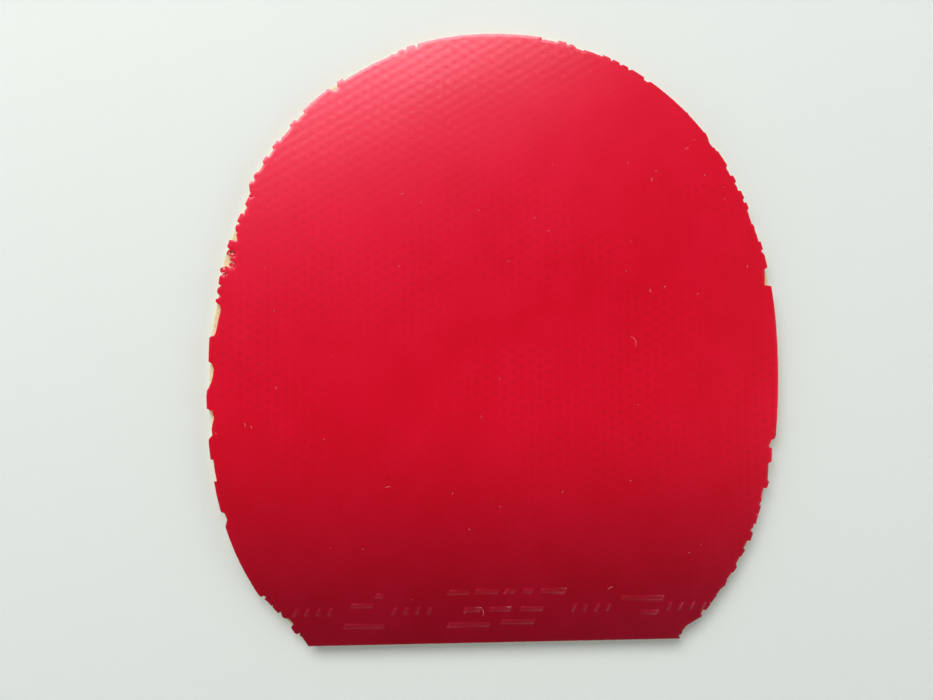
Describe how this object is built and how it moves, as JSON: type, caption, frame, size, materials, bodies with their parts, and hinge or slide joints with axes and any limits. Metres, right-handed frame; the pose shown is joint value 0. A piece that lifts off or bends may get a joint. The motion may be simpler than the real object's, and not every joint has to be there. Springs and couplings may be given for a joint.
{
  "type": "table tennis rubber sheet",
  "caption": "Used inverted table tennis rubber: red moulded topsheet with inward pips, cemented to a yellow sponge, cut to a blade's outline, with a worn and chipped rim.",
  "frame": {"origin": "on the table under the middle of the sheet, at the back of the dried glue film", "axes": "+Z out of the hitting face, +Y from the straight handle edge to the crown, +X across the head"},
  "size_m": [0.15, 0.16, 0.0041],
  "materials": {
    "red_rubber": "glossy, slightly tacky",
    "cement": "satin",
    "sponge": "matt, fine open cells",
    "dried_glue": "satin, translucent"
  },
  "bodies": {
    "root": {"topsheet": "red_rubber", "stranded_pips": "red_rubber", "pip_cement": "cement", "sponge": "sponge", "glue_film": "dried_glue"}
  },
  "joints": []
}
